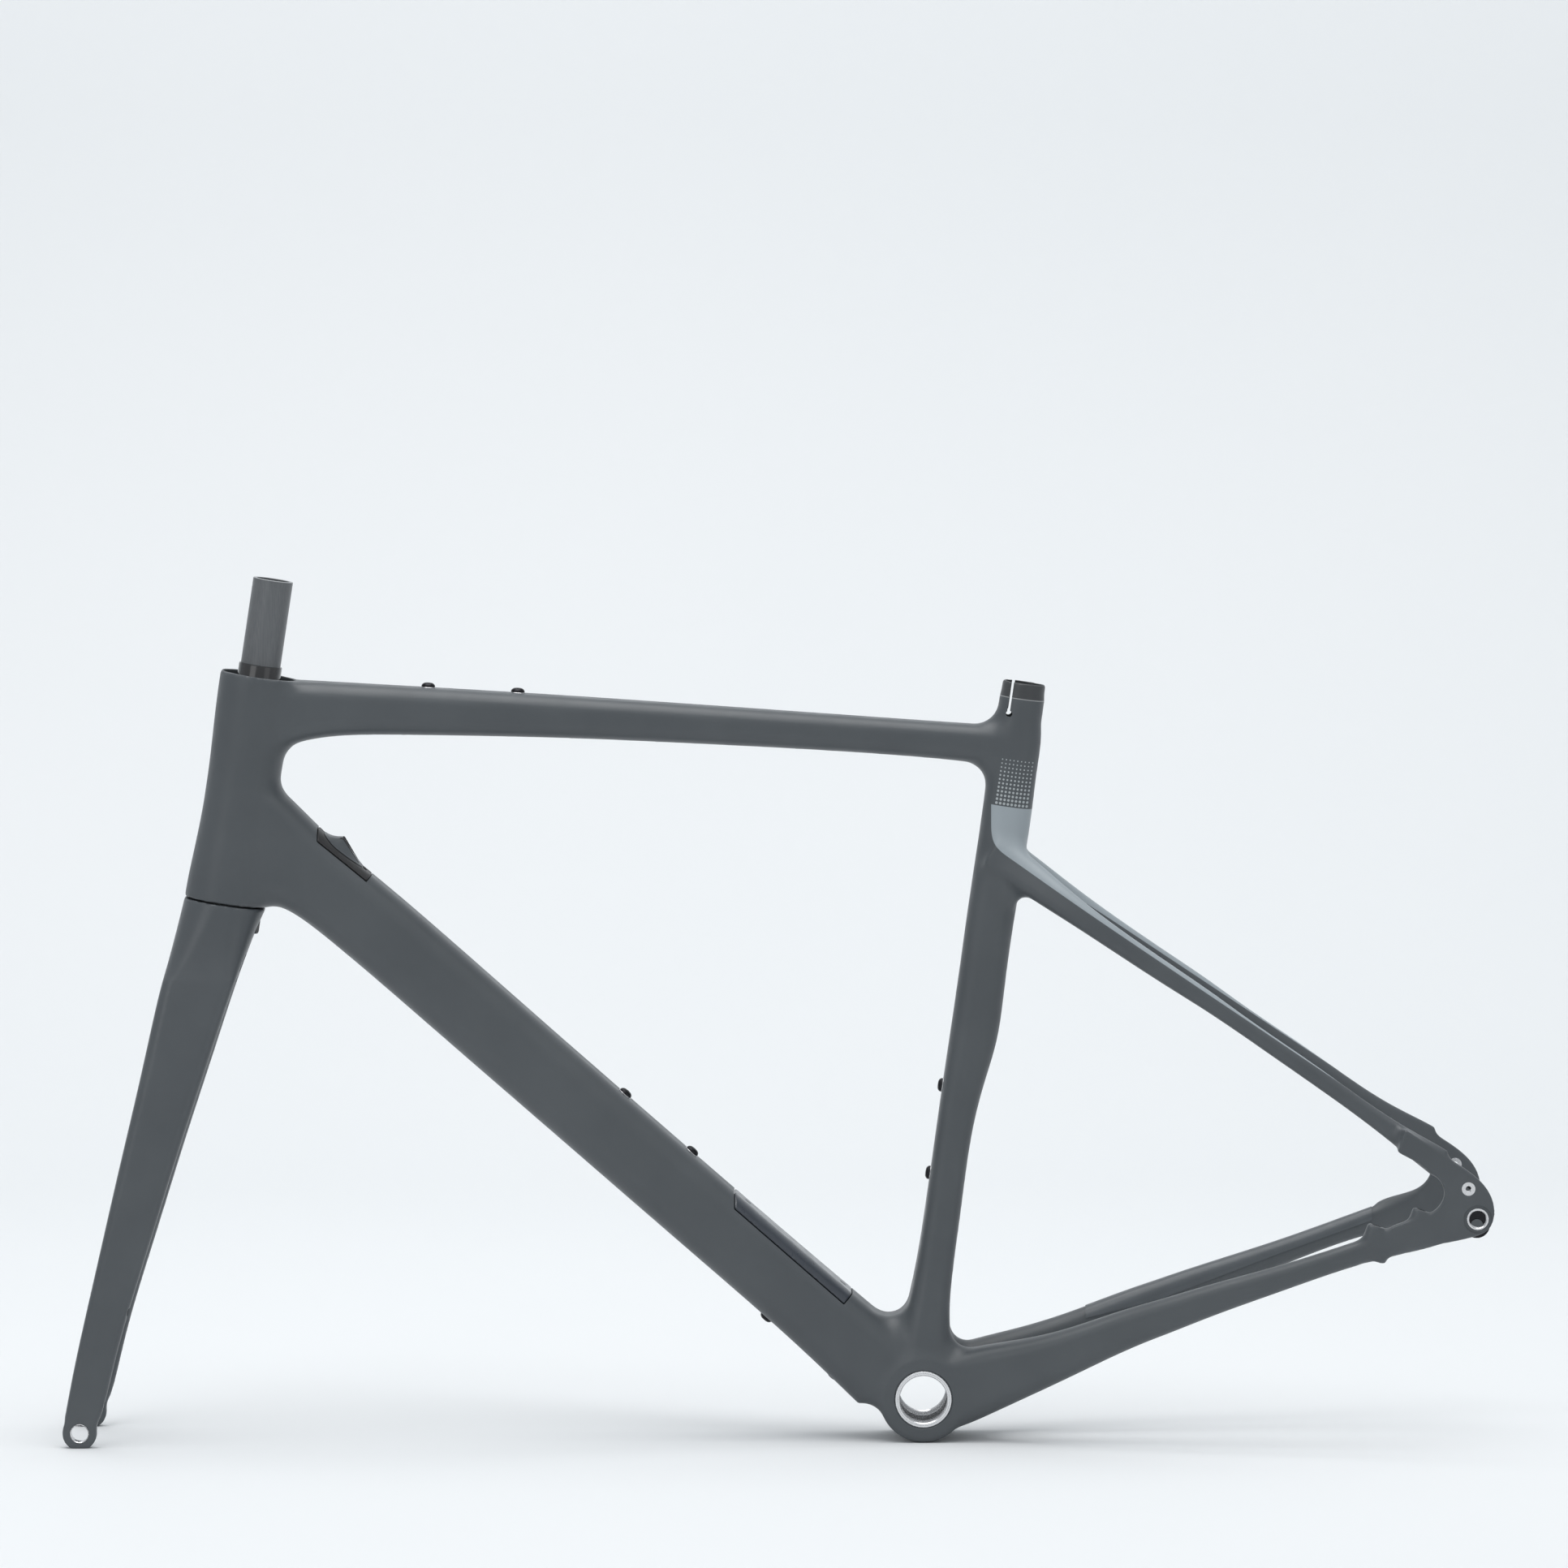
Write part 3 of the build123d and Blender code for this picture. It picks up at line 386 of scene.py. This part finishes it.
def level_set(points, faces, voxel, band):
    """Signed distance to closed surfaces, in a band of voxels."""
    return vdb.FloatGrid.createLevelSetFromPolygons(
        np.ascontiguousarray(points, np.float32), triangles=np.ascontiguousarray(faces, np.uint32),
        transform=vdb.createLinearTransform(voxelSize=voxel), halfWidth=band)


def shifted(points, faces, voxel, distance):
    """The surface at a distance outside closed surfaces."""
    grid = level_set(points, faces, voxel, abs(distance) / voxel + 3)
    new_points, quads = grid.convertToQuads(isovalue=distance)
    quads = np.asarray(quads, np.int32)
    return np.asarray(new_points, float), np.concatenate([quads[:, :3], quads[:, [0, 2, 3]]])


def filleted(points, faces, voxel, radius):
    """Fills every inside corner with a rolling ball fillet."""
    outer = shifted(points, faces, voxel, radius)
    return shifted(*outer, voxel, -radius)


def rounded(points, faces, voxel, radius):
    """Rounds every outside corner."""
    inner = shifted(points, faces, voxel, -radius)
    return shifted(*inner, voxel, radius)


def make_mesh(name, points, faces, smooth=0):
    """Mesh from points and faces: close points merged, faces turned outward, smoothed a number of times."""
    mesh = bpy.data.meshes.new(name)
    mesh.from_pydata([tuple(p) for p in points], [], [tuple(int(i) for i in f) for f in faces])
    bm = bmesh.new()
    bm.from_mesh(mesh)
    bmesh.ops.remove_doubles(bm, verts=bm.verts, dist=1e-7)
    for _ in range(smooth):
        bmesh.ops.smooth_vert(bm, verts=bm.verts, factor=0.5,
                              use_axis_x=True, use_axis_y=True, use_axis_z=True)
    bmesh.ops.recalc_face_normals(bm, faces=bm.faces)
    bm.to_mesh(mesh)
    bm.free()
    mesh.update()
    return mesh


def modified(mesh, kind, **settings):
    """Mesh after one modifier."""
    holder = bpy.data.objects.new("holder", mesh)
    bpy.context.collection.objects.link(holder)
    modifier = holder.modifiers.new("step", kind)
    for key, value in settings.items():
        setattr(modifier, key, value)
    bpy.context.view_layer.update()
    finished = holder.evaluated_get(bpy.context.evaluated_depsgraph_get())
    result = bpy.data.meshes.new_from_object(finished)
    result.name = mesh.name
    bpy.data.objects.remove(holder)
    bpy.data.meshes.remove(mesh)
    return result


def cut(mesh, points, faces):
    """Mesh less a closed solid."""
    cutter = bpy.data.objects.new("cutter", make_mesh("cutter", points, faces))
    bpy.context.collection.objects.link(cutter)
    result = modified(mesh, "BOOLEAN", operation="DIFFERENCE", solver="MANIFOLD", object=cutter)
    bpy.data.objects.remove(cutter)
    return result


def thinned(mesh, count):
    """Mesh with at most a number of triangles."""
    mesh.calc_loop_triangles()
    have = len(mesh.loop_triangles)
    if have > count:
        mesh = modified(mesh, "DECIMATE", ratio=count / have)
    return mesh


def smooth_faces(mesh, angle=32):
    """Smooth shading, with edges above an angle kept sharp."""
    mesh.shade_smooth()
    mesh.set_sharp_from_angle(angle=radians(angle))
    return mesh


def lathe(profile, foot, axis, count=64):
    """Closed solid of revolution.  The profile is (radius, height above the foot) in millimetres, closed."""
    axis = Vector(axis).normalized()
    side = axis.orthogonal().normalized()
    other = axis.cross(side)
    points, rows = [], []
    for radius, height in profile:
        centre = Vector(foot) + axis * height * MM
        if radius == 0:
            rows.append([len(points)] * count)
            points.append(tuple(centre))
            continue
        rows.append(list(range(len(points), len(points) + count)))
        for i in range(count):
            turn = 2 * np.pi * i / count
            points.append(tuple(centre + (side * cos(turn) + other * sin(turn)) * radius * MM))
    faces = []
    pairs = list(zip(rows, rows[1:]))
    if profile[0][0] > 0:
        pairs.append((rows[-1], rows[0]))
    for lower, upper in pairs:
        for i in range(count):
            j = (i + 1) % count
            quad = [lower[i], lower[j], upper[j], upper[i]]
            corners = list(dict.fromkeys(quad))
            if len(corners) == 4:
                faces += [(quad[0], quad[1], quad[2]), (quad[0], quad[2], quad[3])]
            elif len(corners) == 3:
                faces.append(tuple(corners))
    return np.array(points), np.array(faces, np.int32)


def prism(outline, foot, axis, ahead, height):
    """Closed straight solid: outline (along ahead, across) in millimetres, raised along an axis."""
    axis = Vector(axis).normalized()
    ahead = (Vector(ahead) - axis * Vector(ahead).dot(axis)).normalized()
    beside = axis.cross(ahead)
    count = len(outline)
    points = []
    for level in (0, height):
        for a, b in outline:
            points.append(tuple(Vector(foot) + (ahead * a + beside * b + axis * level) * MM))
    points += [tuple(Vector(foot)), tuple(Vector(foot) + axis * height * MM)]
    faces = []
    for i in range(count):
        j = (i + 1) % count
        faces += [(i, j, count + j), (i, count + j, count + i), (j, i, 2 * count),
                  (count + i, count + j, 2 * count + 1)]
    return np.array(points), np.array(faces, np.int32)


def loose_parts(name):
    """Separate solids of a CAD node as arrays of points, in order along the bicycle from the rear."""
    bm = bmesh.new()
    bm.from_mesh(nodes[name].data)
    bmesh.ops.remove_doubles(bm, verts=bm.verts, dist=1e-6)
    left, parts = set(bm.verts), []
    while left:
        stack, found = [left.pop()], []
        while stack:
            vert = stack.pop()
            found.append(tuple(vert.co))
            for edge in vert.link_edges:
                other = edge.other_vert(vert)
                if other in left:
                    left.remove(other)
                    stack.append(other)
        parts.append(np.array(found))
    bm.free()
    return sorted(parts, key=lambda part: part[:, 0].mean() + 0.01 * part[:, 1].mean())


def middle_of(part):
    """Middle of a solid's box."""
    return Vector((part.min(0) + part.max(0)) / 2)


def bolt_seats():
    """Middle of each washer's foot and the way its bolt points out, in order from the rear."""
    seats = []
    for washer, nut in zip(loose_parts("bolt_washers"), loose_parts("rivet_nuts")):
        out = (middle_of(washer) - middle_of(nut)).normalized()
        seats.append((middle_of(washer) - out * HALF_WASHER * MM, out))
    return seats


BOLTS = bolt_seats()


# ------------------------------------------------------------------ frame and fork skins


def frame_surface():
    """Every tube of the frame as one body with moulded fillets where they meet."""
    main = ["head_tube", "top_tube", "down_tube", "seat_tube", "bb_shell", "battery_cover",
            "cable_port_cover"]
    stays = ["chainstay_left", "chainstay_right", "seatstay_left", "seatstay_right"]
    ends = ["dropout_left", "dropout_right", "derailleur_hanger", "axle_insert_left", "eyelet_inserts",
            "rear_brake_sleeves"]
    head_outline = [(0, HEAD_FOOT), (25.9, HEAD_FOOT), (25.9, 0), (0, 0)]
    head_plug = lathe(head_outline, STEER_POINT, STEER_UP)
    seat_plug = lathe([(0, -236), (14.2, -236), (14.2, 0), (0, 0)], SEAT_TOP, SEAT_UP)
    plug_radius = 20.6
    bracket_outline = [(0, -HALF_BRACKET), (plug_radius, -HALF_BRACKET), (plug_radius, HALF_BRACKET),
                       (0, HALF_BRACKET)]
    bracket_plug = lathe(bracket_outline, (0, 0, 0), ACROSS)
    plugs = [head_plug, seat_plug, bracket_plug]
    main_fillet, seat_stay_fillet, chain_stay_fillet, tip_fillet, last_fillet = 14, 13, 12, 5, 2.5
    tubes = joined(polygons(main), *plugs)
    large = filleted(*tubes, COARSE, main_fillet * MM)
    rear = joined(polygons(["seat_tube"]), polygons(stays[2:]), seat_plug)
    rear_joint = filleted(*rear, COARSE, seat_stay_fillet * MM)
    roots = joined(polygons(["seat_tube", "bb_shell"]), polygons(stays[:2]), bracket_plug, seat_plug)
    bottom_joint = filleted(*roots, COARSE, chain_stay_fillet * MM)
    tips = filleted(*polygons(stays + ends), COARSE, tip_fillet * MM)
    bosses = []
    for name in ("rear_brake_front", "rear_brake_back"):
        out = -Vector(mounts[name]["axis"])
        face = mount_place(name) + out * 8 * MM
        bosses.append(lathe([(0, -8), (6.6, -8), (6.6, 0.9), (5.6, 1.6), (0, 1.6)], face, out, 40))
    under = mount_place("rear_brake_front") + Vector(mounts["rear_brake_front"]["axis"]) * 12 * MM
    bosses.append(lathe([(0, -6), (6.2, -6), (6.2, 3.4), (5.0, 4.4), (0, 4.4)], under - SEAT_AHEAD * 9 * MM,
                        mounts["rear_brake_front"]["axis"], 40))
    whole = joined(tubes, polygons(stays + ends), large, rear_joint, bottom_joint, tips, *bosses)
    return filleted(*whole, FINE, last_fillet * MM)


def cylinder_cut(mesh, foot, axis, radius, low, high, count):
    """Mesh less a cylinder between two heights on its axis, in millimetres."""
    return cut(mesh, *lathe([(0, low), (radius, low), (radius, high), (0, high)], foot, axis, count))


def frame_skin():
    """The frame's painted skin, with its bores, seats and the gaps round its covers."""
    mesh = make_mesh("frame_skin", *frame_surface(), smooth=2)
    mesh = thinned(mesh, 176000)
    foot = HEAD_FOOT
    head_bore = [(0, foot - 3), (26.6, foot - 3), (26.6, foot), (26.0, foot + 0.6), (26.0, foot + 9.5),
                 (22.6, foot + 9.5), (22.6, -15), (26.0, -15), (26.0, -0.6), (26.6, 0), (26.6, 3), (0, 3)]
    mesh = cut(mesh, *lathe(head_bore, STEER_POINT, STEER_UP, 96))
    mesh = cut(mesh, *lathe([(0, -235), (13.6, -235), (13.6, -0.5), (14.1, 0), (14.1, 3), (0, 3)],
                            SEAT_TOP, SEAT_UP, 96))
    slot_depth = 23
    slot_foot = SEAT_TOP - SEAT_UP * slot_depth * MM
    slot = [(6, -20), (8, -20), (10, 20), (8, 20)]
    mesh = cut(mesh, *prism(slot, slot_foot, SEAT_UP, SEAT_AHEAD, 30))
    slot_end = slot_foot + SEAT_AHEAD * 8 * MM
    mesh = cylinder_cut(mesh, slot_end, ACROSS, 2.25, -30, 30, 40)
    bracket_bore = [(0, -36), (21.4, -36), (21.4, -HALF_BRACKET), (20.5, -BRACKET_LIP), (20.5, BRACKET_LIP),
                    (21.4, HALF_BRACKET), (21.4, 36), (0, 36)]
    mesh = cut(mesh, *lathe(bracket_bore, (0, 0, 0), ACROSS, 96))
    for place, out in BOLTS:
        mesh = cylinder_cut(mesh, place, out, 5.65, 0, 9, 48)
    recess = [(0, 60), (8.0, 60), (8.0, 76.3), (10.1, 76.3), (10.1, 77.3), (10.5, 77.6), (10.5, 82), (0, 82)]
    mesh = cut(mesh, *lathe(recess, middle_plane("rear_axle_left"), ACROSS, 72))
    for side in (ACROSS, -ACROSS):
        mesh = cylinder_cut(mesh, middle_plane("eyelet_left"), side, 4.8, 60, 82, 48)
    for name in ("rear_brake_front", "rear_brake_back"):
        boss = mounts[name]
        mesh = cylinder_cut(mesh, boss["pos_m"], boss["axis"], 3.4, -14, 14, 40)
    for name, gap in (("battery_cover", 0.4), ("cable_port_cover", 0.35), ("derailleur_hanger", 0.12),
                      ("chainstay_guard", 0.1)):
        mesh = cut(mesh, *shifted(*polygons([name]), 0.5 * MM, gap * MM))
    return smooth_faces(mesh)


def fork_skin():
    """The fork's painted skin, with its axle seats, brake holes and plug seats."""
    plugs = ["crown_plug", "crown_grommet"]
    blades = ["fork_blade_left", "fork_blade_right"]
    inserts = ["fork_insert_left", "fork_insert_right", "fork_brake_inserts"]
    whole = polygons(["fork_crown"] + blades + plugs[:1] + inserts)
    joint = filleted(*whole, 0.0016, 10 * MM)
    points, faces = filleted(*joined(whole, joint), 0.0011, 2.5 * MM)
    mesh = thinned(make_mesh("fork_skin", points, faces, smooth=2), 150000)
    front, insert_radius = middle_plane("front_axle_left"), 7.0
    for side in (ACROSS, -ACROSS):
        mesh = cylinder_cut(mesh, front, side, insert_radius, 45, 65, 64)
    for name in ("front_brake_upper", "front_brake_lower"):
        pad = mounts[name]
        mesh = cylinder_cut(mesh, pad["pos_m"], pad["axis"], 3.2, -6, 12, 40)
    for name in plugs:
        mesh = cut(mesh, *shifted(*polygons([name]), 0.5 * MM, 0.25 * MM))
    return smooth_faces(mesh)


set_camera()
set_stage()
new_object("frame_skin", frame_skin(), "frame_paint", "frame",
           ("head_tube", "top_tube", "down_tube", "seat_tube", "bb_shell", "chainstay_left",
            "chainstay_right", "seatstay_left", "seatstay_right", "dropout_left", "dropout_right"))
new_object("fork_skin", fork_skin(), "fork_paint", "fork",
           ("fork_crown", "fork_blade_left", "fork_blade_right"))


# ------------------------------------------------------------------ softened small parts
def softened(name, node, slot, body, radius, voxel, count, finish=None):
    """A CAD node with its edges rounded by a small radius, as a piece of at most a number of triangles."""
    points, faces = rounded(*polygons([node]), voxel * MM, radius * MM)
    mesh = thinned(make_mesh(name, points, faces, smooth=1), count)
    new_object(name, smooth_faces(mesh, 50), slot, body, (node,), finish)


softened("battery_cover_soft", "battery_cover", "cover_plastic", "frame", 0.7, 0.5, 40000)
softened("cable_port_cover_soft", "cable_port_cover", "black_plastic", "frame", 0.6, 0.4, 40000)
softened("derailleur_hanger_soft", "derailleur_hanger", "black_steel", "frame", 0.4, 0.35, 40000)
softened("crown_grommet_soft", "crown_grommet", "black_plastic", "fork", 0.6, 0.3, 12000)
softened("crown_plug_soft", "crown_plug", "black_plastic", "fork", 0.5, 0.3, 12000, "plug_grey")


# ------------------------------------------------------------------ turned parts
def turned(name, solids, slot, body, replaced, finish=None, recesses=()):
    """One piece made of turned solids, with recesses cut into it."""
    mesh = make_mesh(name, *joined(*solids))
    for recess in recesses:
        mesh = cut(mesh, *recess)
    new_object(name, smooth_faces(mesh, 35), slot, body, (replaced,), finish)


def button_bolts(name, seats):
    """Domed bolts with hexagon sockets, each on its washer."""
    head = [(0, -10), (2.2, -10), (2.5, -9.6), (2.5, 0), (4.7, 0), (4.95, 0.25), (4.9, 0.8), (4.6, 1.5),
            (4.05, 2.15), (3.3, 2.65), (2.5, 2.95), (1.9, 3.0), (0, 3.0)]
    hexagon = [(1.75 * cos(radians(60 * i)), 1.75 * sin(radians(60 * i))) for i in range(6)]
    heads = [lathe(head, place + out * WASHER * MM, out, 48) for place, out in seats]
    sockets = [prism(hexagon, place + out * 2.1 * MM, out, ACROSS, 4) for place, out in seats]
    turned(name + "_domed", heads, "black_steel", "frame", name, recesses=sockets)


def bolt_washers():
    """Bright washers, bevelled on their outer edge."""
    washer = [(2.55, 0), (5.45, 0), (5.55, 0.12), (5.55, WASHER - 0.15), (5.4, WASHER), (2.7, WASHER),
              (2.55, WASHER - 0.15)]
    washers = [lathe(washer, place, out, 48) for place, out in BOLTS]
    turned("bolt_washers_bevelled", washers, "bright_alloy", "frame", "bolt_washers")


def bracket_cup(node, side):
    """Threaded cup of the bottom bracket, turned for one side."""
    minor, major, turns = 17.0, 17.35, 19
    threads = []
    for i in range(turns):
        threads += [(minor, HALF_BRACKET - 1 - i), (major, HALF_BRACKET - 1.5 - i)]
    cup = [(20.45, 10.2), (20.45, HALF_BRACKET - 0.5), (20.0, HALF_BRACKET), (18.9, HALF_BRACKET),
           (18.75, HALF_BRACKET - 0.2), (18.6, HALF_BRACKET), (17.6, HALF_BRACKET),
           (minor, HALF_BRACKET - 0.6)]
    cup += threads + [(minor, 13.6), (17.6, 12.8), (17.6, 10.0), (20.2, 10.0)]
    turned(node + "_threaded", [lathe(cup, (0, 0, 0), side, 96)], "bright_alloy", "frame", node)


def steerer():
    """Hollow carbon steerer: full size above the ring, slimmer inside the headset, widening to the crown."""
    bore, radius, hidden_radius, foot_radius = 11.8, 14.3, 13.7, 19.0
    outline = [(bore, -164.9), (18.7, -164.9), (foot_radius, -164.6), (foot_radius, -146),
               (hidden_radius, -118), (hidden_radius, 7.4), (radius, 7.5), (radius, STEERER_TOP - 0.4),
               (14.0, STEERER_TOP), (12.05, STEERER_TOP), (bore, STEERER_TOP - 0.3)]
    tube = lathe(outline, STEER_POINT, STEER_UP, 96)
    turned("steerer_turned", [tube], "raw_carbon", "fork", "steerer_tube")


def compression_ring():
    """Black collar round the steerer, split at the back."""
    bore = 14.36
    collar = [(bore, -15), (19.7, -15), (19.95, -14.7), (19.95, -8), (20.7, -8), (20.8, -7.8), (20.8, -5.9),
              (20.3, -5.5), (16.6, -5.5), (15.7, -4.9), (15.5, -4.2), (15.5, 6.8), (15.2, 7.4), (14.7, 7.5),
              (bore, 7.2)]
    split = prism([(-25, -0.7), (-10, -0.7), (-10, 0.7), (-25, 0.7)], head_point(-20), STEER_UP,
                  ACROSS.cross(STEER_UP), 40)
    turned("compression_ring_turned", [lathe(collar, STEER_POINT, STEER_UP, 96)], "black_plastic", "fork",
           "compression_ring", "gloss_black", [split])


def axle_insert(node, body, axle, side, inner, outer, low, high):
    """Metal eye for an axle, bevelled at both ends, between two distances from the middle plane."""
    eye = [(inner, low + 0.4), (inner + 0.4, low), (outer - 0.05, low), (outer - 0.05, high - 0.3),
           (outer - 0.35, high), (inner + 0.5, high), (inner, high - 0.5)]
    turned(node + "_eye", [lathe(eye, axle, side, 72)], "bright_alloy", body, node)


button_bolts("seat_tube_bolts", BOLTS[0:2])
button_bolts("down_tube_lower_bolts", BOLTS[2:4])
button_bolts("down_tube_bolts", BOLTS[4:6])
button_bolts("top_tube_bolts", BOLTS[6:8])
bolt_washers()
bracket_cup("bb_cup_left", ACROSS)
bracket_cup("bb_cup_right", -ACROSS)
steerer()
compression_ring()
rear_axle = middle_plane("rear_axle_left")
front_axle = middle_plane("front_axle_left")
axle_insert("axle_insert_left", "frame", rear_axle, ACROSS, 6.1, 8.0, 71, 76.3)
axle_insert("fork_insert_left", "fork", front_axle, ACROSS, 6.1, 7.0, 50, 60)
axle_insert("fork_insert_right", "fork", front_axle, -ACROSS, 5.45, 7.0, 50, 60)

# ------------------------------------------------------------------ CAD nodes that stay
FINISH_OF = {
    "chainstay_guard": "guard_grey", "eyelet_inserts": "bright_alloy", "rear_brake_sleeves": "bright_alloy",
    "rivet_nuts": "bright_alloy", "battery_cover_screws": "black_steel",
    "fork_brake_inserts": "bright_alloy", "crown_race": "black_plastic",
}
for name, node in nodes.items():
    if not node.hide_render:
        node.data.materials.clear()
        node.data.materials.append(MATERIALS[FINISH_OF.get(name, "bearing_steel")])
